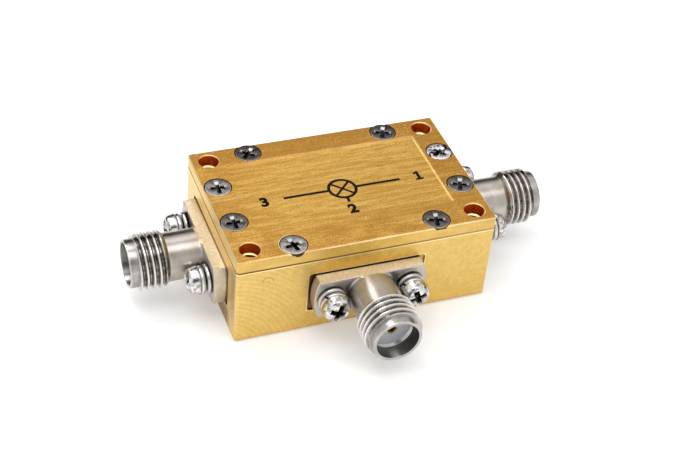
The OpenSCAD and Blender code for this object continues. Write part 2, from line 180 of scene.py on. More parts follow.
# Geometry Nodes trees for what is turned, threaded or repeated
def startTree(name, sizes):
    tree = bpy.data.node_groups.new(name, "GeometryNodeTree")
    tree.interface.new_socket("Points", in_out="INPUT", socket_type="NodeSocketGeometry")
    for label in sizes:
        tree.interface.new_socket(label, in_out="INPUT", socket_type="NodeSocketFloat")
    tree.interface.new_socket("Finish", in_out="INPUT", socket_type="NodeSocketMaterial")
    tree.interface.new_socket("Geometry", in_out="OUTPUT", socket_type="NodeSocketGeometry")
    return tree, {socket.name: Wire(socket) for socket in tree.nodes.new("NodeGroupInput").outputs}


def endTree(given, geometry):
    tree = geometry.tree
    loose = result(tree, "GeometryNodeRealizeInstances", {"Geometry": geometry})
    dressed = result(tree, "GeometryNodeSetMaterial", {"Geometry": loose, "Material": given["Finish"]})
    feed(tree.nodes.new("NodeGroupOutput").inputs[0], dressed)
    return tree


def position(tree):
    return result(tree, "GeometryNodeInputPosition")


def moved(geometry, place):
    return result(geometry.tree, "GeometryNodeSetPosition", {"Geometry": geometry, "Position": place})


def joined(*parts):
    tree = parts[0].tree
    whole = node(tree, "GeometryNodeJoinGeometry")
    for part in parts:
        feed(whole.inputs[0], part)
    whole = Wire(whole.outputs[0])
    return result(tree, "GeometryNodeMergeByDistance", {"Geometry": whole, "Distance": treeWeld})


def onPoints(given, geometry):
    # The local place is kept for the finish, and each point brings its own turn
    tree = geometry.tree
    marked = result(tree, "GeometryNodeStoreNamedAttribute",
                    {"Geometry": geometry, "Name": "ownPlace", "Value": position(tree)},
                    data_type="FLOAT_VECTOR", domain="POINT")
    facing = result(tree, "GeometryNodeInputNamedAttribute", {"Name": "facing"}, data_type="FLOAT_VECTOR")
    return result(tree, "GeometryNodeInstanceOnPoints",
                  {"Points": given["Points"], "Instance": marked, "Rotation": facing})


def runTree(tree, pieceName, points, sizes, finish, bevel=0.0):
    mesh = bpy.data.meshes.new(pieceName)
    mesh.from_pydata([place.translation for place, shade in points], [], [])
    mesh.attributes.new("facing", "FLOAT_VECTOR", "POINT")
    mesh.attributes.new("shade", "FLOAT", "POINT")
    for i, (place, shade) in enumerate(points):
        mesh.attributes["facing"].data[i].vector = place.to_euler()
        mesh.attributes["shade"].data[i].value = shade
    piece = inScene(pieceName, mesh)
    modifier = piece.modifiers.new("build", "NODES")
    modifier.node_group = tree
    values = {**sizes, "Finish": finish}
    for item in tree.interface.items_tree:
        if item.in_out == "INPUT" and item.name in values:
            modifier[item.identifier] = values[item.name]
    if bevel:
        soft = piece.modifiers.new("soften", "BEVEL")
        soft.limit_method = "WEIGHT"
        soft.width = bevel
        soft.segments = 2
    built = asMesh(piece, preserve_all_data_layers=True)
    piece.modifiers.clear()
    piece.data = built
    bpy.data.meshes.remove(mesh)
    built.name = pieceName
    built.materials.clear()
    built.materials.append(finish)
    for face in built.polygons:
        face.material_index = 0
    return piece


def wound(tree, sides, rows):
    # A grid to wind round the axis, with each point's share of the turn and its row
    grid = result(tree, "GeometryNodeMeshGrid",
                  {"Size X": 1.0, "Size Y": 1.0, "Vertices X": sides + 1, "Vertices Y": rows + 1})
    x, y = split(position(tree))[:2]
    return grid, x + 0.5, calc("ROUND", (y + 0.5) * rows)


def roundAxis(grid, radius, angle, height):
    return moved(grid, vector(radius * calc("COSINE", angle), radius * calc("SINE", angle), height))


def turnedSkin(tree, outline, sides):
    # Each row takes its radius and height from the outline
    grid, share, row = wound(tree, sides, len(outline) - 1)
    pick = node(tree, "GeometryNodeIndexSwitch", {0: row}, data_type="VECTOR")
    while len(pick.index_switch_items) < len(outline):
        pick.index_switch_items.new()
    for i, (radius, height) in enumerate(outline):
        feed(pick.inputs[i + 1], vector(radius, 0.0, height))
    radius, height = split(Wire(pick.outputs[0]))[::2]
    return roundAxis(grid, radius, share * turn, height)


threadFlat = 1 / 32  # half width of crest and root, as a share of the pitch


def threadSkin(tree, crest, root, pitch, low, high, foot, tip, after, sides, turns, rowsPerTurn=16,
               cone=0.0, fade=1e-5):
    # The grid's rows climb one pitch in a turn, so crests and roots follow grid lines.
    # foot and tip are the radii at which it runs out, and after is the plain radius past its tip.
    # The grooves start after a plain cone at the foot, and deepen over the length of the fade.
    grid, share, row = wound(tree, sides, turns * rowsPerTurn)
    step = row / rowsPerTurn
    height = low + pitch * (step + share - 1.0)
    flank = fall(abs(step - calc("ROUND", step)), threadFlat, 0.5 - threadFlat)
    begun = calc("DIVIDE", height - low - cone, fade, clamp=True)
    radius = crest - (1.0 - flank) * (crest - root) * begun
    held = least(most(height, low), high)
    radius = least(radius, foot + (held - low), tip + (high - held))
    past = calc("GREATER_THAN", height - high, pitch / (rowsPerTurn * 0.99))
    radius = radius * (1.0 - past) + after * past
    return roundAxis(grid, radius, (share + 0.5) * turn, held)


# Shape of the cross recess, as shares of its own sizes; edges over the sharp angle are bevelled
recess = {"narrowing": 0.5, "thinning": 0.3, "conePoint": 0.3, "coneSink": 1.1, "coneSides": 8,
          "sharp": 0.45}
shankSides, shankRows = 24, 8


def recessTools(given, top):
    # Two tapered blades and a small cone, sunk from the top of a head
    depth, core = given["Recess Depth"], given["Recess Core"]
    tree = depth.tree
    tools = []
    for quarter in (0, 1):
        block = result(tree, "GeometryNodeMeshCube",
                       {"Size": vector(given["Recess Width"], given["Recess Blade"], depth * 2.0)})
        x, y, z = split(position(tree))
        share = z / depth
        narrow, thin = (1.0 + share * recess[name] for name in ("narrowing", "thinning"))
        place = vector(x * narrow, y * thin, z + top)
        tools.append(result(tree, "GeometryNodeTransform",
                            {"Geometry": moved(block, place), "Rotation": (0, 0, quarter * turn / 4)}))
    cone = result(tree, "GeometryNodeMeshCone", {
        "Vertices": recess["coneSides"], "Radius Top": core, "Radius Bottom": core * recess["conePoint"],
        "Depth": depth * 2.0})
    tools.append(result(tree, "GeometryNodeTransform", {
        "Geometry": cone, "Translation": vector(0.0, 0.0, top - depth * recess["coneSink"]),
        "Rotation": (0, 0, turn / recess["coneSides"] / 2)}))
    return tools


def cutHead(given, head, top):
    # The recess is cut, and its sharp edges are marked for the bevel
    tree = head.tree
    cut = node(tree, "GeometryNodeMeshBoolean", {"Mesh 1": head}, operation="DIFFERENCE", solver="EXACT")
    for tool in recessTools(given, top):
        feed(cut.inputs["Mesh 2"], tool)
    sharp = calc("GREATER_THAN", result(tree, "GeometryNodeInputMeshEdgeAngle"), recess["sharp"])
    return result(tree, "GeometryNodeStoreNamedAttribute",
                  {"Geometry": Wire(cut.outputs[0]), "Name": "bevel_weight_edge", "Value": sharp},
                  data_type="FLOAT", domain="EDGE")


def screwShank(given, high, turns):
    # A threaded shank and the cap that closes its tip
    tree, radius, root = given["Root"].tree, given["Shank Radius"], given["Root"]
    tipRadius, tipHeight = radius - given["Tip"], -given["Length"]
    shank = threadSkin(tree, radius, root, given["Pitch"], tipHeight, high, tipRadius, radius, root,
                       shankSides, turns, shankRows)
    return shank, turnedSkin(tree, [(tipRadius, tipHeight), (0.0, tipHeight)], shankSides)


def tidyMesh(piece, sharpAngle, place=None):
    mesh = piece.data
    work = bmesh.new()
    work.from_mesh(mesh)
    bmesh.ops.remove_doubles(work, verts=work.verts, dist=meshWeld)
    bmesh.ops.dissolve_degenerate(work, edges=work.edges, dist=meshWeld)
    bmesh.ops.recalc_face_normals(work, faces=work.faces)
    for face in work.faces:
        face.smooth = True
    work.to_mesh(mesh)
    work.free()
    if place is not None:
        mesh.transform(place)
    mesh.set_sharp_from_angle(angle=math.radians(sharpAngle))
    mesh.update()


def setPiece(piece, slotName, *nodeNames):
    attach(piece, "root")
    if nodeNames:
        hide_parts(*nodeNames)


# Finishes, with their lengths in mm
def newFinish(name, colour, metal, rough, **extra):
    material = bpy.data.materials.new(name)
    material.use_nodes = True
    shader = material.node_tree.nodes["Principled BSDF"]
    values = {"Base Color": colour + (1,), "Metallic": metal, "Roughness": rough, **extra}
    for socket, value in values.items():
        shader.inputs[socket].default_value = value
    return material, shader


def attribute(shader, name, output="Vector"):
    return result(shader.id_data, "ShaderNodeAttribute", output=output, attribute_name=name)


def mapped(place, scale=(1, 1, 1), location=(0, 0, 0)):
    return result(place.tree, "ShaderNodeMapping", {"Vector": place, "Scale": scale, "Location": location})


def objectPlace(shader):
    return mapped(result(shader.id_data, "ShaderNodeTexCoord", output="Object"), (1 / mm,) * 3)


def ownPlace(shader):
    # The place on a piece before it was set on its port or point, and the distance from its axis
    own = mapped(attribute(shader, "ownPlace"), (1 / mm,) * 3)
    x, y, z = split(own)
    return own, x, y, z, distance(x, y)


def speckle(place, scale, detail=3.0, rough=0.6, distortion=0.0):
    # Noise, which a scale of three numbers stretches
    if isinstance(scale, tuple):
        place, scale = mapped(place, scale), 1.0
    return result(place.tree, "ShaderNodeTexNoise", {"Vector": place, "Scale": scale, "Detail": detail,
                                                     "Roughness": rough, "Distortion": distortion})


def blend(amount, first, second, mode="MIX"):
    # The colours of a Mix node are its inputs 6 and 7 and its output 2
    made = node(amount.tree, "ShaderNodeMix", {"Factor": amount}, data_type="RGBA", blend_type=mode)
    for socket, colour in ((6, first), (7, second)):
        feed(made.inputs[socket], colour if isinstance(colour, Wire) else colour + (1,))
    return Wire(made.outputs[2])


def stained(colour, *stains):
    # Each stain goes over the colour by its own amount
    for amount, stain in stains:
        colour = blend(amount, colour, stain)
    return colour


def lay(shader, colour, rough, height=None, strength=1.0, depth=0.04):
    # Colour and roughness, and a bump of that height, with its depth in mm
    feed(shader.inputs["Base Color"], colour)
    feed(shader.inputs["Roughness"], rough)
    if height is not None:
        feed(shader.inputs["Normal"], result(shader.id_data, "ShaderNodeBump", {
            "Height": height, "Strength": strength, "Distance": depth * mm}))


def acrossGrain(shader, grain):
    # Reflections stretch across brushing and turning marks
    tree = shader.id_data
    normal = result(tree, "ShaderNodeNewGeometry", output="Normal")
    feed(shader.inputs["Tangent"], result(tree, "ShaderNodeVectorMath", {0: grain, 1: normal},
                                          operation="CROSS_PRODUCT"))


gold = {
    "light": (0.79, 0.56, 0.175), "plain": (0.7, 0.48, 0.136), "deep": (0.46, 0.2, 0.028),
    "pale": (0.9, 0.76, 0.46), "burnishAndHighlight": (1.0, 0.86, 0.5), "speck": (1.0, 0.7, 0.22),
    "shadow": (0.22, 0.075, 0.006), "leftEndShade": (0.3, 0.17, 0.06), "pocket": (0.16, 0.06, 0.012),
    "overFlange": (1.0, 0.965, 0.78), "lowPart": (1.0, 0.97, 0.84),
    "wall": (0.82, 0.17, 0.014), "wallDeep": (0.52, 0.055, 0.003), "rim": (1.0, 0.74, 0.33),
    "glint": (1.0, 0.85, 0.47), "sunk": (0.03, 0.015, 0.006), "panel": (1.0, 0.64, 0.155),
    "margin": (0.92, 0.52, 0.115), "marginDeep": (0.72, 0.375, 0.07), "marginBack": (0.6, 0.3, 0.05),
    "broad": (0.55, 0.27, 0.045), "grain": (0.42, 5.0, 0.9), "broadGrain": (0.09, 1.9, 0.3),
}


def onFront(y):
    return fall(y, -9.3, -9.2)


def fromFour(x, y, spot):
    # Distance from the nearest of the four spots that mirror each other on the body
    return distance(abs(x) - spot[0], abs(y) - spot[1])


def holeWall(place, z):
    # Painted shade and reflection make the wall red gold with faint streaks, and a painted highlight marks
    # the bevel at the seam
    streaks = speckle(place, (1.2, 1.2, 0.3))
    wall = blend(ramp(streaks, 0.3, 0.8), gold["wallDeep"], gold["wall"])
    return blend(window(z, 9.42, 9.46, 9.68, 9.72), wall, gold["glint"])


def seamBevel(z):
    # Height of a bump that leans the hole's wall back at the seam
    return calc("DIVIDE", 9.72 - z, 0.3, clamp=True) * 12.0


def paintedReflection(colour, x, y, z):
    # Painted reflection of the front flange as deeper gold above it, and a painted sheen of paler gold on
    # the left end
    low = body["portHeight"] + 2.7
    overFlange = fall(abs(x), 4.6, 5.6) * rise(z, low - 0.1, low) * onFront(y)
    colour = blend(overFlange, colour, gold["overFlange"], "MULTIPLY")
    return blend(fall(x, -14.45, -14.4, 0.25), colour, gold["pale"])


# Gold plating of the housing: milled faces with a fine cloud and faint cutter arcs
housingGold, shader = newFinish("housingGold", gold["plain"], 1.0, 0.4,
                                **{"Coat Weight": 0.18, "Coat Roughness": 0.45})
place = objectPlace(shader)
x, y, z = split(place)
cloud = speckle(place, 1.3, 4.0)
fine = speckle(place, 6.5, 2.0)
arcs = result(shader.id_data, "ShaderNodeTexWave", {
    "Vector": mapped(place, location=(16.5, 9.4, 2.0)), "Scale": 0.56, "Distortion": 1.2, "Detail": 2.0},
    output=1, wave_type="RINGS", rings_direction="SPHERICAL")
colour = blend(ramp(cloud, 0.3, 0.7), gold["plain"], gold["light"])
flecks = rise(arcs, 0.6, 0.95) * rise(fine, 0.46, 0.6) * fall(x, -9.5, -6.5, 0.35)
# A faint hooked scratch near the front left corner
fromHook = abs(distance(x + 11.1, z - 7.8) - 0.62)
hook = fall(fromHook, 0.02, 0.08, 0.75) * rise(z, 7.7, 7.9) * onFront(y)
colour = stained(
    colour,
    (rise(fine, 0.5, 0.62, 0.3), gold["deep"]),
    (flecks, gold["burnishAndHighlight"]),
    (hook, gold["deep"]))
colour = paintedReflection(colour, x, y, z)
colour = blend(fall(z, 0.8, 4.5, 0.8), colour, gold["lowPart"], "MULTIPLY")
# Painted shade on the left end: a dark band near its front and a patch under the flange
band = window(y, -9.2, -8.6, -8.2, -7.0) * rise(z, 1.5, 5.0, 0.45) * ramp(z, 7.8, 9.4, 1.0, 0.3)
under = rise(y, -7.8, -6.2) * fall(z, 1.6, 3.2, 0.92)
colour = blend(fall(x, -14.48, -14.44) * most(band, under), colour, gold["leftEndShade"])
# Painted shade in the pockets behind the flanges, and a painted highlight along the front pocket's edge
pocketWide, pocketHigh = body["pocketHalf"]
fromPort = abs(z - body["portHeight"])
front = rise(y, -9.39, -9.37) * fall(most(abs(x), abs(y + 9.3)), pocketWide - 0.02, pocketWide + 0.02)
sides = window(abs(x), 14.1, 14.2, 14.47, 14.49) * fall(abs(y), pocketWide - 0.02, pocketWide + 0.02)
pocket = most(front, sides) * fall(fromPort, pocketHigh - 0.02, pocketHigh + 0.02)
pocketDark = ramp(abs(x), 13.0, 14.0, 0.9, 0.6) * ramp(x, 5.7, 6.1, 1.0, 0.4)
fromPocket = most(abs(x) - (pocketWide - 0.05), fromPort - (pocketHigh - 0.05))
edge = window(fromPocket, 0.0, 0.02, 0.07, 0.11) * fall(y, -9.39, -9.37, 0.7)
inHole = fall(fromFour(x, y, body["mountHole"]), 1.22, 1.24)
colour = stained(
    colour,
    (pocket * pocketDark, gold["pocket"]),
    (edge, gold["burnishAndHighlight"]),
    # Darker along the foot, a painted highlight just below the seam, and painted shade in the seam that
    # fades to the right
    (fall(z, 0.1, 0.6, 0.5), gold["deep"]),
    (rise(z, 9.35, 9.38, 0.8), gold["burnishAndHighlight"]),
    (rise(z, 9.48, 9.5) * ramp(x, -1.0, 13.0, 0.95, 0.6), gold["shadow"]),
    (inHole, holeWall(place, z)))
height = fine * 0.22 + arcs * 0.055 + inHole * seamBevel(z)
lay(shader, colour, ramp(cloud, 0.2, 0.8, 0.34, 0.48), height)

# Gold plating of the lid: brushed along its length, a lighter panel and deeper margins
lidGold, shader = newFinish("lidGold", gold["plain"], 1.0, 0.36, Anisotropic=0.9,
                            **{"Coat Weight": 0.12, "Coat Roughness": 0.45})
acrossGrain(shader, (1.0, 0.01, 0.02))
place = objectPlace(shader)
x, y, z = split(place)
grain = speckle(place, gold["grain"], 4.0, 0.62)
broad = speckle(place, gold["broadGrain"])
cloud = speckle(place, 0.42)
dust = speckle(place, 6.2, 2.0)
panelRight, panelFront, panelBack = body["panelEdges"]
byBack = fall(y, panelBack - 0.04, panelBack + 0.02)
insideX = rise(x, -13.5, -6.0) * fall(x, panelRight - 0.04, panelRight + 0.02)
panel = insideX * rise(y, -6.8, -4.4, 0.85) * byBack
# A light line where two milling passes meet, and painted highlights along the panel's right and back edges
passLine = fall(abs(y - 0.7), 0.03, 0.09, 0.5) * fall(x, -11.2, -10.8)
rightEdge = fall(abs(x - panelRight - 0.01), 0.04, 0.06) * byBack
rightEdge *= rise(y, panelFront - 0.05, panelFront + 0.05)
backEdge = fall(abs(y - panelBack), 0.05, 0.08, 0.5) * insideX
colour = stained(
    blend(ramp(cloud, 0.35, 0.68), gold["marginDeep"], gold["margin"]),
    (panel, gold["panel"]),
    (rise(y, panelBack, panelBack + 0.35, 0.7), gold["marginBack"]),
    (rise(y, 7.8, 9.0, 0.9), gold["marginBack"]),
    (rise(x, panelRight, panelRight + 0.3) * ramp(y, -6.0, 8.0, 0.4, 0.9), gold["marginBack"]),
    (rise(grain, 0.46, 0.6, 0.55), gold["deep"]),
    (rise(dust, 0.48, 0.6, 0.42), gold["deep"]),
    (fall(dust, 0.34, 0.46, 0.5), gold["speck"]),
    (rise(broad, 0.46, 0.62, 0.42), gold["broad"]),
    (fall(broad, 0.3, 0.42, 0.4), gold["speck"]),
    (most(passLine, rightEdge, backEdge), gold["burnishAndHighlight"]))
flank = fall(z, 10.86, 10.92)
colour = paintedReflection(blend(flank * 0.75, colour, gold["light"]), x, y, z)
# A painted highlight on the top bevel, on the left end and growing towards the right; painted shade at the
# seam that fades to the right; a painted highlight round each hole's rim
outwards = most(abs(x) - body["halfLength"], abs(y) - body["halfWidth"])
onBevel = rise(outwards, -0.14, -0.1) * rise(z, 10.92, 10.96)
bevelShine = fall(x, -14.38, -14.34, 0.6) + ramp(x, -14.5, 4.0, 0.25, 0.7)
nearSeam = fall(z - body["seam"], 0.08, 0.14) * ramp(x, -1.0, 13.0, 0.9, 0.55)
offHole = fromFour(x, y, body["mountHole"])
# Painted shade in the countersinks and in the notch where the front left one breaks out through the lid's
# front, and a painted highlight ring round that one
notch = fall(distance(x + 7.9, z - 11.1), 0.52, 0.6, 0.95) * onFront(y)
fromScrew = least(*(fromFour(x, y, spot) for spot in body["lidScrewSpots"]))
sunk = most(fall(fromScrew, 1.51, 1.54, 0.95) * rise(z, 10.76, 10.82), notch)
glintRing = window(distance(x + 8.0, y + 8.0), 1.49, 1.52, 1.58, 1.66)
glintRing *= ramp(x, -8.4, -7.4, 0.85, 0.2) * rise(z, 10.9, 10.96)
colour = stained(
    colour,
    (onBevel * bevelShine, gold["burnishAndHighlight"]),
    (nearSeam, gold["shadow"]),
    (fall(offHole, 1.2, 1.22), gold["rim"]),
    (fall(offHole, 1.1, 1.12), holeWall(place, z)),
    (glintRing, gold["glint"]),
    (sunk, gold["sunk"]))
height = fall(offHole, 1.15, 1.18) * seamBevel(z) + grain * (0.3 - flank * 0.21)
lay(shader, colour, ramp(grain, 0.3, 0.7, 0.36, 0.5), height)

# Passivated steel of the sockets: fine turning lines, painted shade in the thread roots with painted
# highlights on the crests, warm sawn flats on the flange
steel = {
    "bright": (0.62, 0.612, 0.6), "smudge": (0.5, 0.47, 0.44), "line": (0.34, 0.32, 0.3),
    "crest": (0.86, 0.83, 0.79), "root": (0.085, 0.066, 0.052), "barrel": (0.85, 0.8, 0.74),
    "flange": (0.95, 0.89, 0.83), "corner": (0.05, 0.044, 0.038), "ring": (0.3, 0.27, 0.245),
    "mouth": (0.9, 0.89, 0.87), "inside": (0.11, 0.102, 0.095), "sideShade": (0.02, 0.018, 0.016),
    "lowReflection": (0.8, 0.78, 0.76), "lip": (0.25, 0.24, 0.23), "flat": (0.9, 0.77, 0.55),
    "flatDeep": (0.72, 0.57, 0.37), "roundEnd": (0.2, 0.13, 0.075), "flangeBackShade": (0.02, 0.009, 0.004),
    "flangeBackShadeAtEnds": (0.24, 0.13, 0.05),
}
socketSteel, shader = newFinish("socketSteel", (0.6, 0.59, 0.57), 1.0, 0.3, Anisotropic=0.85)
acrossGrain(shader, attribute(shader, "around"))
own, x, y, z, radius = ownPlace(shader)
lines = speckle(vector(radius * 6.0, 0.0, z * 9.0), 1.0, 4.0)
smudge = speckle(own, (0.5, 0.5, 0.7))
# Painted highlights on the thread's crests, and patchy painted shade in its roots
inThread = window(z, 5.1, 5.3, 8.3, 8.4)
valley = inThread * fall(radius, 2.82, 3.15) * rise(radius, 2.4, 2.6)
patchy = ramp(speckle(own, 1.9, 2.0), 0.36, 0.6, 0.42, 0.88)
colour = stained(
    blend(ramp(smudge, 0.4, 0.72), steel["bright"], steel["smudge"]),
    (rise(lines, 0.45, 0.7, 0.3), steel["line"]),
    (inThread * rise(radius, 3.06, 3.16, 0.8), steel["crest"]),
    (valley * patchy, steel["root"]))
colour = blend(window(z, 1.6, 1.8, 5.3, 5.7), colour, steel["barrel"], "MULTIPLY")
colour = blend(window(z, 1.25, 1.3, 1.5, 1.55), colour, steel["flange"], "MULTIPLY")
# Painted shade in the corners between barrel and screws, and a browner ring behind the mouth
corner = window(radius, 2.6, 2.75, 2.9, 3.4) * rise(abs(x), 1.9, 2.5) * fall(z, 1.6, 1.7, 0.6)
ring = window(z, 8.35, 8.5, 9.2, 9.26) * rise(radius, 2.55, 2.6) * ramp(smudge, 0.35, 0.65, 0.5, 0.95)
# Painted shade darkens the socket, more towards one side, and a painted reflection lightens its lowest part
inSocket = fall(radius, 2.32, 2.34) * rise(z, 7.4, 7.6)
shadedSide = inSocket * rise(z, 7.65, 7.75) * rise(x, 0.2, 2.1, 0.7)
lowReflection = inSocket * rise(z, 7.8, 9.0) * fall(abs(x), 0.1, 0.7) * fall(y, -2.0, -1.6, 0.7)
onFlat = fall(z, 1.68, 1.72) * rise(most(abs(y), radius - 3.95), 2.33, 2.38)
sawn = blend(ramp(speckle(own, (7.0, 2.6, 2.6)), 0.35, 0.7), steel["flat"], steel["flatDeep"])
roundEnd = fall(x, -5.9, -5.7) * rise(radius, 6.24, 6.3) * fall(z, 1.25, 1.4, 0.6)
# Painted shade along the flange's back, where it sits in its pocket
atEnds = rise(abs(split(objectPlace(shader))[0]), 13.0, 14.0)
flangeBackShade = blend(atEnds, steel["flangeBackShade"], steel["flangeBackShadeAtEnds"])
colour = stained(
    colour,
    (corner, steel["corner"]),
    (ring, steel["ring"]),
    (inSocket, steel["mouth"]),
    (inSocket * rise(z, 7.65, 7.75, 0.84), steel["inside"]),
    (shadedSide, steel["sideShade"]),
    (lowReflection, steel["lowReflection"]),
    (rise(z, 9.28, 9.34, 0.35), steel["lip"]),
    (onFlat * ramp(abs(y), 2.2, 2.36, 0.4, 0.85), sawn),
    (roundEnd, steel["roundEnd"]),
    (fall(z, 0.08, 0.18, 0.96) * (1.0 - atEnds * 0.25), flangeBackShade))
rough = ramp(lines, 0.3, 0.7, 0.27, 0.35) - inThread * 0.09 + onFlat * 0.15
lay(shader, colour, rough, lines, 0.05, 0.02)

# Nickel of the lid screws: each point's shade paints its head dark or bright, as painted shade and painted
# highlight for how that head is tilted
nickel = {
    "dark": (0.062, 0.048, 0.04), "light": (0.6, 0.56, 0.525), "wear": (0.2, 0.18, 0.165),
    "rim": (0.8, 0.77, 0.74), "brightest": (0.9, 0.88, 0.86), "blotch": (0.03, 0.024, 0.02),
    "edge": (0.85, 0.84, 0.83), "goldSide": (0.5, 0.3, 0.08), "recess": (0.012, 0.01, 0.009),
}
lidScrewNickel, shader = newFinish("lidScrewNickel", (0.3, 0.3, 0.3), 1.0, 0.34)
own, x, y, z, radius = ownPlace(shader)
shade = attribute(shader, "shade", "Fac")
wear = speckle(objectPlace(shader), 2.6, 4.0, 0.65)
# A painted highlight makes the brightest head brighter still, with dark blotches
brightest = rise(shade, 0.9, 1.0)
blotch = rise(speckle(own, 1.3, 2.0), 0.53, 0.58) * brightest
# Painted shade makes the recess black except at the ends of its arms, and a painted highlight runs along its
# top edges
dark = fall(z, -0.14, -0.07, 0.97) * fall(most(abs(x), abs(y)), 0.72, 0.8)
bright = fall(z, -0.03, -0.01, 0.8) * fall(radius, 1.2, 1.3)
# The side of the head, seen where two countersinks break out through the lid's front, gets painted shade on
# the brighter heads and a painted gold reflection on the darker ones
side = fall(z, -0.08, -0.05, 0.9) * rise(radius, 1.1, 1.2)
colour = stained(
    blend(shade, nickel["dark"], nickel["light"]),
    (rise(wear, 0.5, 0.62, 0.6), nickel["wear"]),
    # A painted highlight on the rim, stronger on the brighter heads
    (rise(radius, 1.3, 1.4) * (shade * 0.5 + 0.25), nickel["rim"]),
    (brightest, nickel["brightest"]),
    (blotch, nickel["blotch"]),
    (bright, nickel["edge"]),
    (side, blend(ramp(shade, 0.2, 0.7), nickel["goldSide"], nickel["blotch"])),
    (dark, nickel["recess"]))
lay(shader, colour, ramp(wear, 0.3, 0.7, 0.18, 0.34), wear, 0.4, 0.03)

# Bright nickel of the flange screws, with painted shade that makes the recess black
brightNickel = {"light": (0.76, 0.75, 0.735), "dull": (0.34, 0.32, 0.3), "recess": (0.02, 0.018, 0.016)}
flangeScrewNickel, shader = newFinish("flangeScrewNickel", (0.66, 0.65, 0.63), 1.0, 0.16)
z, radius = ownPlace(shader)[3:]
wear = speckle(objectPlace(shader), 2.4, 4.0)
colour = blend(ramp(wear, 0.4, 0.62), brightNickel["light"], brightNickel["dull"])
colour = blend(fall(z, 0.9, 1.12, 0.97) * fall(radius, 0.98, 1.1), colour, brightNickel["recess"])
lay(shader, colour, ramp(wear, 0.3, 0.7, 0.12, 0.26), wear, 0.12, 0.03)

# Zinc grey of the washers, with turning lines across their faces and painted shade along their lower outer
# edge
zinc = {"light": (0.74, 0.73, 0.72), "dull": (0.5, 0.49, 0.475), "shadow": (0.03, 0.028, 0.026)}
washerSteel, shader = newFinish("washerSteel", (0.55, 0.54, 0.52), 1.0, 0.25)
z, radius = ownPlace(shader)[3:]
rings = speckle(vector(radius * 9.0, 0.0, z * 6.0), 1.0)
colour = blend(ramp(rings, 0.35, 0.7), zinc["light"], zinc["dull"])
colour = blend(fall(z, 0.16, 0.26, 0.93) * rise(radius, 1.35, 1.47), colour, zinc["shadow"])
lay(shader, colour, ramp(rings, 0.3, 0.7, 0.18, 0.32), rings, 0.1, 0.02)


def cloudedFinish(name, colour, metal, rough, noise, colours, roughs, bump=(), high=0.7, bumpNoise=None,
                  **extra):
    # One noise mixes two colours, moves the roughness and makes the bump, unless that has its own noise
    material, shader = newFinish(name, colour, metal, rough, **extra)
    place = objectPlace(shader)
    cloud = speckle(place, *noise)
    colour = blend(ramp(cloud, 0.35, high), *colours)
    height = speckle(place, *bumpNoise) if bumpNoise else cloud
    lay(shader, colour, ramp(cloud, 0.3, 0.7, *roughs), height if bump else None, *bump)
    return material


# White insulator plastic, faintly cloudy, coloured cool grey as painted shade
insulatorWhite = cloudedFinish(
    "insulatorWhite", (0.8, 0.8, 0.79), 0.0, 0.42, (1.4,), ((0.58, 0.6, 0.625), (0.48, 0.5, 0.525)),
    (0.36, 0.5), (0.08, 0.02), bumpNoise=(6.0, 2.0, 0.55))
# Polished gold of the contacts, pins, bead rings, lines and ribbons
contactGold = cloudedFinish(
    "contactGold", (0.86, 0.56, 0.16), 1.0, 0.2, (5.2,), ((0.9, 0.6, 0.19), (0.74, 0.44, 0.11)),
    (0.14, 0.28), (0.08, 0.01))
# Gold of the carrier under the circuit, with a satin milled grain
carrierGold = cloudedFinish(
    "carrierGold", gold["plain"], 1.0, 0.4, ((0.5, 4.2, 0.9),), (gold["light"], gold["plain"]),
    (0.34, 0.48), (0.15, 0.02))
# Alumina of the substrates: chalk white with a grey bloom
ceramicWhite = cloudedFinish(
    "ceramicWhite", (0.8, 0.79, 0.76), 0.0, 0.5, (3.6, 4.0, 0.65), ((0.84, 0.83, 0.8), (0.7, 0.69, 0.66)),
    (0.42, 0.6), (0.1, 0.01))
# Sealing glass of the beads: bottle dark, with a slight swirl
beadGlass = cloudedFinish(
    "beadGlass", (0.03, 0.05, 0.07), 0.0, 0.08, (2.6, 3.0, 0.6, 0.6),
    ((0.02, 0.035, 0.05), (0.05, 0.075, 0.1)), (0.05, 0.14))
# Black marking ink, a little uneven
markingInk = cloudedFinish(
    "markingInk", (0.01, 0.009, 0.008), 0.0, 0.7, (5.2,), ((0.006, 0.005, 0.005), (0.016, 0.013, 0.01)),
    (0.6, 0.8), (0.1, 0.01), high=0.75, **{"Specular IOR Level": 0.05})

# Semiconductor of the chip: dark slate with a fine grid of metal
chipSlate, shader = newFinish("chipSlate", (0.05, 0.055, 0.065), 0.3, 0.25)
place = objectPlace(shader)
grid = node(shader.id_data, "ShaderNodeTexBrick", {
    "Vector": place, "Color1": (0.04, 0.05, 0.065, 1), "Color2": (0.07, 0.075, 0.09, 1),
    "Mortar": (0.5, 0.36, 0.12, 1), "Scale": 4.2, "Mortar Size": 0.03})
rough = ramp(speckle(place, 5.0, rough=0.55), 0.3, 0.7, 0.18, 0.32)
lay(shader, Wire(grid.outputs["Color"]), rough, Wire(grid.outputs["Fac"]), 0.1, 0.01)
print("finishes ready")

dress = {"housing": housingGold, "lid": lidGold, "carrier": carrierGold, "microstrip_lines": contactGold,
         "bond_ribbons": contactGold, "mixer_chip": chipSlate}
portDress = {"insulator": insulatorWhite, "contact": contactGold, "bead_ring": contactGold,
             "bead_glass": beadGlass, "pin": contactGold, "substrate": ceramicWhite}
for number in ports:
    dress.update({f"port_{number}_{name}": finish for name, finish in portDress.items()})
for name, finish in dress.items():
    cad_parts[name].data.materials.clear()
    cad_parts[name].data.materials.append(finish)
print("solids dressed")

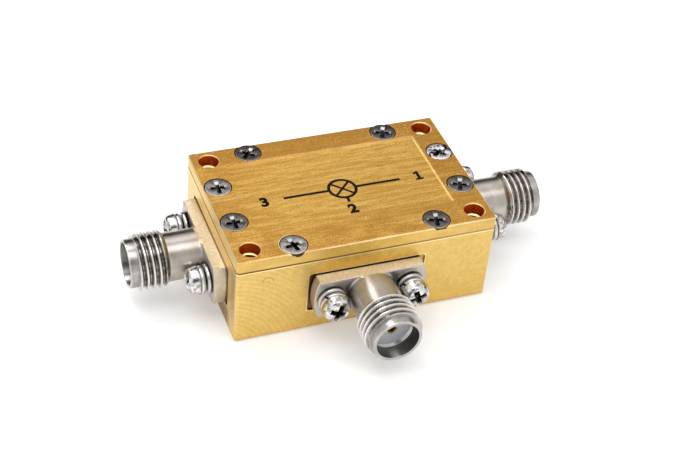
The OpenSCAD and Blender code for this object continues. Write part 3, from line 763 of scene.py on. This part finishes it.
# Socket shells: a turned and threaded barrel on a two-hole flange
socket = inMetres({
    "Barrel Foot": 0.725, "Flange Front": 1.45, "Root Bevel": 0.12, "Flat Side": 2.399, "Flat Run": 1.7,
    "Cone": 0.27, "Fade": 0.3, "Barrel Radius": 2.67, "Shoulder Start": 5.095, "Crest Radius": 3.175,
    "Root Radius": 2.742, "Pitch": 0.7056, "Thread End": 8.4, "Thread Tip": 2.975, "Pilot Radius": 2.67,
    "Mouth": 9.35, "Lip": 0.1, "Socket Radius": 2.3, "Socket Floor": 7.45, "Bore Radius": 2.06,
})
flange = inMetres({"radius": 6.35, "halfWidth": 2.4, "back": -0.2, "front": 1.45, "bevel": 0.12,
                   "holeRadius": 0.9, "holeOffset": 4.45, "bore": 2.06})
flangeSteps = {"roundEnd": 40, "hole": 48}
socketSides, socketTurns, socketSharp = 96, 6, 28


def socketTree():
    tree, given = startTree("threadedSocket", socket)
    barrel, pilot, inside, bore = (given[f"{name} Radius"] for name in ("Barrel", "Pilot", "Socket", "Bore"))
    mouth, lip, floor, foot, front, bevel, run = (given[name] for name in (
        "Mouth", "Lip", "Socket Floor", "Barrel Foot", "Flange Front", "Root Bevel", "Flat Run"))
    soft, sliver = lip * 0.3, 1e-6
    rest = turnedSkin(tree, [
        (pilot, given["Thread End"]), (pilot, mouth - lip), (pilot - soft, mouth - soft),
        (pilot - lip, mouth), (inside + lip, mouth), (inside + soft, mouth - soft), (inside, mouth - lip),
        (inside, floor), (bore, floor), (bore, foot), (barrel + bevel, foot), (barrel + bevel, front),
        (barrel, front + bevel), (barrel, run - sliver), (barrel, run), (barrel, given["Shoulder Start"]),
    ], socketSides)
    # The flange's flats run on over the root of the barrel, and the sliver is the step where they end
    x, y, z = split(position(tree))
    held = least(most(y, -given["Flat Side"]), given["Flat Side"])
    low = calc("LESS_THAN", z, run - sliver / 2)
    rest = moved(rest, vector(x, y + low * (held - y), z))
    thread = threadSkin(tree, given["Crest Radius"], given["Root Radius"], given["Pitch"],
                        given["Shoulder Start"], given["Thread End"], barrel, given["Thread Tip"], pilot,
                        socketSides, socketTurns, cone=given["Cone"], fade=given["Fade"])
    return endTree(given, joined(rest, thread))


def arcPoints(centre, radius, angles):
    return [(centre + radius * math.cos(angle), radius * math.sin(angle)) for angle in angles]


def flangePlate():
    # The outline is a disc cut by two flats; a curve with holes gives the plate and its soft edges
    curve = bpy.data.curves.new("flangeOutline", "CURVE")
    curve.dimensions = "2D"
    curve.fill_mode = "BOTH"
    curve.extrude = (flange["front"] - flange["back"]) / 2 - flange["bevel"]
    curve.bevel_depth = flange["bevel"]
    curve.bevel_resolution = 2
    curve.offset = -flange["bevel"]
    half, steps = math.asin(flange["halfWidth"] / flange["radius"]), flangeSteps["roundEnd"]
    loops = [arcPoints(0, flange["radius"], [side * math.pi - half + 2 * half * i / steps
                                             for side in (0, 1) for i in range(steps + 1)])]
    for centre, radius in ((0, flange["bore"]), (flange["holeOffset"], flange["holeRadius"]),
                           (-flange["holeOffset"], flange["holeRadius"])):
        steps = flangeSteps["hole"]
        loops.append(arcPoints(centre, radius, [-turn * i / steps for i in range(steps)]))
    for loop in loops:
        spline = curve.splines.new("POLY")
        spline.points.add(len(loop) - 1)
        for point, (px, py) in zip(spline.points, loop):
            point.co = (px, py, 0, 1)
        spline.use_cyclic_u = True
    holder = inScene("flangeOutline", curve)
    mesh = asMesh(holder)
    bpy.data.objects.remove(holder)
    bpy.data.curves.remove(curve)
    mesh.transform(Matrix.Translation((0, 0, (flange["front"] + flange["back"]) / 2)))
    return mesh


threadedSocket = socketTree()
plate = flangePlate()
for number in ports:
    shell = runTree(threadedSocket, f"port{number}Socket", [(Matrix.Identity(4), 1.0)], socket, socketSteel)
    work = bmesh.new()
    work.from_mesh(shell.data)
    work.from_mesh(plate)
    ownLayer = work.verts.layers.float_vector.new("ownPlace")
    aroundLayer = work.verts.layers.float_vector.new("around")
    outward = portPlace(number).to_3x3()
    for vert in work.verts:
        vert[ownLayer] = vert.co
        vert[aroundLayer] = outward @ Vector((-vert.co.y, vert.co.x, 0)).normalized()
    work.to_mesh(shell.data)
    work.free()
    tidyMesh(shell, socketSharp, portPlace(number))
    setPiece(shell, "connector_steel", f"port_{number}_shell")
print("sockets threaded")

# Countersunk lid screws with cross recesses
lidScrew = inMetres({
    "Head Radius": 1.44, "Edge": 0.05, "Rim": 0.09, "Cone": 0.7, "Shank Radius": 0.78, "Root": 0.6,
    "Pitch": 0.35, "Length": 3.98, "Tip": 0.2,
    "Recess Width": 1.95, "Recess Blade": 0.46, "Recess Depth": 0.62, "Recess Core": 0.5,
})
# Place on the lid in mm, turn of the cross in degrees, and the head's painted shade, from dark to bright
lidScrewPlaces = [(-8, -8, 12, 0.8), (-8, 8, 50, 0.12), (8, -8, -14, 0.18), (8, 8, -22, 0.15),
                  (-12.9, -3, 0, 0.3), (-12.9, 3, -3, 0.7), (12.9, -3, -22, 0.28), (12.9, 3, 38, 1.0)]
headSides, screwSharp = 48, 35
shankTurns = {"lid": 11, "flange": 13}


def lidScrewTree():
    tree, given = startTree("crossScrewFlat", lidScrew)
    radius, edge, rim = given["Head Radius"], given["Edge"], given["Rim"]
    under = -(rim + given["Cone"])
    head = turnedSkin(tree, [(0.0, 0.0), (radius - edge, 0.0), (radius, -edge), (radius, -rim),
                             (given["Root"], under), (0.0, under)], headSides)
    head = cutHead(given, joined(head), 0.0)
    return endTree(given, onPoints(given, joined(head, *screwShank(given, under, shankTurns["lid"]))))


points = [(Matrix.Translation((px * mm, py * mm, body["top"] * mm)) @ turned(angle), shade)
          for px, py, angle, shade in lidScrewPlaces]
lidScrews = runTree(lidScrewTree(), "lidScrews", points, lidScrew, lidScrewNickel, bevel=0.045 * mm)
tidyMesh(lidScrews, screwSharp)
setPiece(lidScrews, "lid_screw_steel", "lid_screws")
print("lid screws in")

# Pan head screws of the flanges, each over a spring washer and a flat washer
flangeScrew = inMetres({
    "Head Radius": 1.6, "Head Side": 0.74, "Head Height": 1.3, "Shank Radius": 0.78, "Root": 0.6,
    "Pitch": 0.35, "Length": 4.48, "Tip": 0.2,
    "Recess Width": 2.2, "Recess Blade": 0.64, "Recess Depth": 0.8, "Recess Core": 0.72,
})
# The gap is in radians, and the slant in radians per metre of height
springWasher = {**inMetres({"Outer": 1.55, "Inner": 0.9, "Thickness": 0.7, "Round": 0.24, "Lift": 0.09}),
                "Gap Angle": 0.15, "Slant": -300.0, "Taper": 0.3}
flatWasher = {**inMetres({"Outer": 1.6, "Inner": 0.9, "Thickness": 0.5, "Round": 0.2}),
              "Lift": 0.0, "Gap Angle": 0.0, "Slant": 0.0, "Taper": 0.0}
washerPoints = {"ring": 65, "corner": 3}
# Foot of each piece over the pocket in mm, and its turn in degrees on the left and right of a port
stack = {"flangeScrews": (2.65, {-1: 68, 1: 18}), "springWashers": (1.95, {-1: 129, 1: 141}),
         "flatWashers": (1.45, {-1: 0, 1: 0})}
turnPerPort = 40
# Shares of the head's radius at its foot and shoulder, and the share of its side at which it is widest
panHead = {"foot": 0.95, "shoulder": 0.905, "widest": 0.15}
# Shares of the head's radius and of its crown's rise, from the side to the middle
crown = [(0.885, 0.2), (0.85, 0.38), (0.8, 0.54), (0.73, 0.67), (0.6, 0.8), (0.44, 0.9), (0.22, 0.975),
         (0.0, 1.0)]


def flangeScrewTree():
    tree, given = startTree("crossScrewPan", flangeScrew)
    radius, side, height = given["Head Radius"], given["Head Side"], given["Head Height"]
    crownRise = height - side
    outline = [(0.0, 0.0), (radius * panHead["foot"], 0.0), (radius, side * panHead["widest"]),
               (radius * panHead["shoulder"], side)]
    outline += [(radius * share, side + crownRise * climb) for share, climb in crown]
    head = cutHead(given, joined(turnedSkin(tree, outline, headSides)), height)
    return endTree(given, onPoints(given, joined(head, *screwShank(given, 0.0, shankTurns["flange"]))))


def washerTree():
    # A rounded bar bent into a ring; the slant skews its gap, and the taper thins it outwards
    tree, given = startTree("washerRing", springWasher)
    outer, inner, thickness, gap = (given[name] for name in ("Outer", "Inner", "Thickness", "Gap Angle"))
    profile = result(tree, "GeometryNodeCurvePrimitiveQuadrilateral",
                     {"Width": outer - inner, "Height": thickness})
    profile = result(tree, "GeometryNodeFilletCurve", {
        "Curve": profile, "Count": washerPoints["corner"], "Radius": given["Round"]}, mode="POLY")
    ring = result(tree, "GeometryNodeCurveArc",
                  {"Resolution": washerPoints["ring"], "Radius": (outer + inner) * 0.5,
                   "Start Angle": gap * 0.5, "Sweep Angle": turn - gap}, mode="RADIUS")
    washer = result(tree, "GeometryNodeCurveToMesh",
                    {"Curve": ring, "Profile Curve": profile, "Fill Caps": True})
    x, y, z = split(position(tree))
    share = (distance(x, y) - inner) / (outer - inner)
    height = z * (1.0 - share * given["Taper"]) + share * given["Lift"] + thickness * 0.5
    swing = z * given["Slant"]
    cosine, sine = calc("COSINE", swing), calc("SINE", swing)
    washer = moved(washer, vector(x * cosine - y * sine, x * sine + y * cosine, height))
    return endTree(given, onPoints(given, washer))


def flangePoints(height, turns):
    return [(portPlace(number) @ Matrix.Translation((side * flange["holeOffset"], 0, height * mm))
             @ turned(turns[side] + turnPerPort * (number - 2)), 1.0)
            for number in ports for side in (-1, 1)]


def setStack(name, tree, sizes, finish, bevel, slotName, nodeName):
    piece = runTree(tree, name, flangePoints(*stack[name]), sizes, finish, bevel)
    tidyMesh(piece, screwSharp)
    setPiece(piece, slotName, nodeName)


washerRing = washerTree()
setStack("flangeScrews", flangeScrewTree(), flangeScrew, flangeScrewNickel, 0.03 * mm,
         "flange_screw_steel", "flange_screws")
setStack("springWashers", washerRing, springWasher, washerSteel, 0.0, "washer_steel", "lock_washers")
setStack("flatWashers", washerRing, flatWasher, washerSteel, 0.0, "washer_steel", "flat_washers")
print("flange screws and washers in")

# Port numbers and the plain circuit sign of a mixer, in ink on the panel, in mm
marking = {
    "numbers": {"3": (-8.8, -0.5), "2": (0.07, -3.85)}, "height": 1.92, "swell": 0.1, "ink": 0.012,
    "signCentre": (0.1, -0.4), "signRadius": 1.5, "stroke": 0.34, "crossStroke": 0.272, "crossGap": 0.08,
    "ringSides": 72, "leadEnds": ((-6.6, -0.4), (6.8, -0.4), (0.1, -2.7)), "oneCentre": (9.0, -0.3),
    # The number 1 with its flag and foot, as one outline
    "one": [(-0.44, -0.72), (0.48, -0.72), (0.48, -0.45), (0.21, -0.45), (0.21, 0.72), (-0.07, 0.72),
            (-0.46, 0.5), (-0.38, 0.24), (-0.14, 0.35), (-0.14, -0.45), (-0.44, -0.45)],
}


def strokeBar(work, start, end, width):
    start, end = Vector(start), Vector(end)
    along = (end - start).normalized()
    across = Vector((-along.y, along.x)) * width / 2
    corners = [start - across, end - across, end + across, start + across]
    work.faces.new([work.verts.new((c.x * mm, c.y * mm, 0)) for c in corners])


def mixerSign():
    work = bmesh.new()
    cx, cy = marking["signCentre"]
    half, sides, gap = marking["stroke"] / 2, marking["ringSides"], marking["crossGap"]
    inner, outer = marking["signRadius"] - half, marking["signRadius"] + half
    angles = [turn * i / sides for i in range(sides)]
    rings = [[work.verts.new(((cx + r * math.cos(angle)) * mm, (cy + r * math.sin(angle)) * mm, 0))
              for angle in angles] for r in (inner, outer)]
    for i in range(sides):
        after = (i + 1) % sides
        work.faces.new((rings[0][i], rings[1][i], rings[1][after], rings[0][after]))
    slant = inner / math.sqrt(2)
    bars = (((-slant, -slant), (slant, slant)), ((-slant, slant), (-gap, gap)),
            ((gap, -gap), (slant, -slant)))
    for start, end in bars:
        strokeBar(work, (cx + start[0], cy + start[1]), (cx + end[0], cy + end[1]), marking["crossStroke"])
    for ex, ey in marking["leadEnds"]:
        away = Vector((ex - cx, ey - cy)).normalized() * outer
        strokeBar(work, (cx + away.x, cy + away.y), (ex, ey), marking["stroke"])
    mesh = bpy.data.meshes.new("mixerSign")
    work.to_mesh(mesh)
    work.free()
    return mesh


def numberOne():
    ox, oy = marking["oneCentre"]
    mesh = bpy.data.meshes.new("portNumber1")
    corners = [((ox + a) * mm, (oy + b) * mm, 0) for a, b in marking["one"]]
    mesh.from_pydata(corners, [], [tuple(range(len(corners)))])
    return mesh


def numberText(text, centre):
    curve = bpy.data.curves.new(f"portNumber{text}", "FONT")
    curve.body = text
    curve.size = marking["height"] * mm
    curve.offset = marking["swell"] * mm
    holder = inScene(curve.name, curve)
    mesh = asMesh(holder)
    bpy.data.objects.remove(holder)
    spans = [[v.co[axis] for v in mesh.vertices] for axis in (0, 1)]
    shift = [c * mm - (min(span) + max(span)) / 2 for c, span in zip(centre, spans)]
    mesh.transform(Matrix.Translation((*shift, 0)))
    return mesh


marks = {"mixerSign": mixerSign(), "portNumber1": numberOne()}
for text, centre in marking["numbers"].items():
    marks[f"portNumber{text}"] = numberText(text, centre)
for name, mesh in marks.items():
    work = bmesh.new()
    work.from_mesh(mesh)
    bmesh.ops.remove_doubles(work, verts=work.verts, dist=meshWeld)
    raised = bmesh.ops.extrude_face_region(work, geom=work.faces[:])["geom"]
    lifted = [part for part in raised if isinstance(part, bmesh.types.BMVert)]
    bmesh.ops.translate(work, vec=(0, 0, marking["ink"] * mm), verts=lifted)
    bmesh.ops.recalc_face_normals(work, faces=work.faces)
    work.to_mesh(mesh)
    work.free()
    mesh.transform(Matrix.Translation((0, 0, body["panelFloor"] * mm)))
    mesh.materials.clear()
    mesh.materials.append(markingInk)
    setPiece(inScene(name, mesh), None)
print("panel marked")

# Camera where the photograph was taken from: angles in degrees, lens and place in mm
view = {"azimuth": -23.4198, "elevation": 40.1605, "roll": 5.5688, "lens": 79.376,
        "place": (-50.1831, -116.5114, 111.1934)}
azimuth, elevation, roll = (math.radians(view[k]) for k in ("azimuth", "elevation", "roll"))
level = math.cos(elevation)
back = Vector((math.sin(azimuth) * level, -math.cos(azimuth) * level, math.sin(elevation)))
right = Vector((0, 0, 1)).cross(back).normalized()
up = back.cross(right)
across = right * math.cos(roll) + up * math.sin(roll)
upward = up * math.cos(roll) - right * math.sin(roll)
cameraData = bpy.data.cameras.new("photoCamera")
cameraData.lens = view["lens"]
cameraData.sensor_width = 36
cameraData.clip_start = 0.001
camera = inScene("photoCamera", cameraData)
camera.matrix_world = Matrix((across, upward, back)).transposed().to_4x4()
camera.location = [c * mm for c in view["place"]]
bpy.context.scene.camera = camera

# White table, white surround, soft lamps, and dark cards that only reflections see
studio = {
    "floorSize": 3.0, "floorWhite": 0.84, "floorGlow": 0.26, "surround": 0.85,
    # Place, width, height and radiance of each lamp; all face the part
    "lamps": {"overhead": ((-0.04, -0.089, 0.43), 0.42, 0.19, 2.1),
              "back": ((-0.13, 0.235, 0.361), 0.11, 0.32, 4.6)},
    # Place, width, height and grey of each card
    "cards": {"backCard": ((0.0, 0.5, 0.14), 1.3, 0.32, 0.03),
              "backCardHigh": ((0.0, 0.46, 0.366), 1.2, 0.16, 0.62),
              "rightCard": ((0.46, 0.1, 0.1), 0.5, 0.2, 0.03),
              "cameraCard": ((-0.085, -0.2, 0.19), 0.12, 0.12, 0.03)},
}


def facingPart(place):
    return Matrix.Translation(place) @ Vector(place).to_track_quat("Z", "Y").to_matrix().to_4x4()


def stagePlane(name, place, width, height, material):
    mesh = bpy.data.meshes.new(name)
    corners = [(a * width / 2, b * height / 2, 0) for a, b in ((-1, -1), (1, -1), (1, 1), (-1, 1))]
    mesh.from_pydata(corners, [], [(0, 1, 2, 3)])
    mesh.transform(place)
    mesh.materials.append(material)
    made = inScene(name, mesh)
    return made


def seenRays(tree):
    rays = node(tree, "ShaderNodeLightPath").outputs
    return most(*(Wire(rays[f"Is {kind} Ray"]) for kind in ("Camera", "Glossy", "Transmission")))


tableWhite, shader = newFinish("tableWhite", (studio["floorWhite"],) * 3, 0.0, 0.9,
                               **{"Emission Color": (1, 1, 1, 1)})
feed(shader.inputs["Emission Strength"], seenRays(shader.id_data) * studio["floorGlow"])
stagePlane("whiteTable", Matrix.Identity(4), studio["floorSize"], studio["floorSize"], tableWhite)

for name, (place, width, height, grey) in studio["cards"].items():
    card = stagePlane(name, facingPart(place), width, height, newFinish(name, (grey,) * 3, 0.0, 0.9)[0])
    card.visible_camera = False
    card.visible_diffuse = False
    card.visible_shadow = False

for name, (place, width, height, radiance) in studio["lamps"].items():
    lamp = bpy.data.lights.new(name, "AREA")
    lamp.shape = "RECTANGLE"
    lamp.size, lamp.size_y = width, height
    lamp.energy = radiance * math.pi * width * height
    inScene(name, lamp).matrix_world = facingPart(place)

world = bpy.data.worlds.new("whiteSurround")
bpy.context.scene.world = world
world.use_nodes = True
background = world.node_tree.nodes["Background"]
background.inputs["Color"].default_value = (1, 1, 1, 1)
strength = studio["surround"] + seenRays(world.node_tree) * (1.0 - studio["surround"])
feed(background.inputs["Strength"], strength)
bpy.context.scene.view_settings.view_transform = "Standard"
print("camera and studio set")
